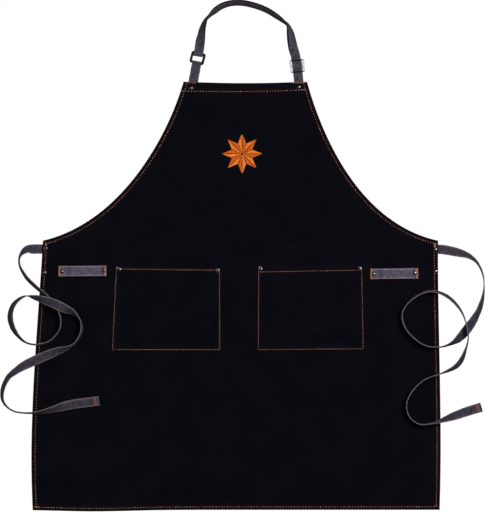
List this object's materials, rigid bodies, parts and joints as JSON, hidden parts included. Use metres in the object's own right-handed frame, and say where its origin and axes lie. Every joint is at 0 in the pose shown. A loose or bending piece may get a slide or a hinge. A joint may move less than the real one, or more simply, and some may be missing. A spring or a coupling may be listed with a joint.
{
  "type": "utility apron",
  "caption": "Canvas bib apron laid flat, with an adjustable neck strap, long side ties, patch pockets, towel loops and riveted corners.",
  "frame": {"origin": "on the floor, under the middle of the box of the apron and its neck strap, without the side ties", "axes": "+Y from the hem to the neck strap, +X to the right as seen from the front, +Z out of the front face"},
  "size_m": [0.969, 1.0226, 0.0287],
  "materials": {
    "canvas": "black cotton canvas with orange top stitching",
    "denim": "grey heathered denim straps, sewn along both edges",
    "black_metal": "satin black",
    "dark_steel": "dark polished rivet caps"
  },
  "bodies": {
    "root": {"apron_panel": "canvas", "pocket_left": "canvas", "pocket_right": "canvas", "towel_loop_left": "denim", "towel_loop_right": "denim", "neck_tab": "denim", "neck_strap": "denim", "tie_left": "denim", "tie_right": "denim", "neck_ring": "black_metal", "neck_slider": "black_metal", "bib_rivet_left": "dark_steel", "bib_rivet_right": "dark_steel", "side_rivet_left_upper": "dark_steel", "side_rivet_left_lower": "dark_steel", "side_rivet_right_upper": "dark_steel", "side_rivet_right_lower": "dark_steel", "pocket_left_rivet_outer": "dark_steel", "pocket_left_rivet_inner": "dark_steel", "pocket_right_rivet_inner": "dark_steel", "pocket_right_rivet_outer": "dark_steel", "loop_left_rivet_outer": "dark_steel", "loop_left_rivet_inner": "dark_steel", "loop_right_rivet_inner": "dark_steel", "loop_right_rivet_outer": "dark_steel"}
  },
  "joints": []
}
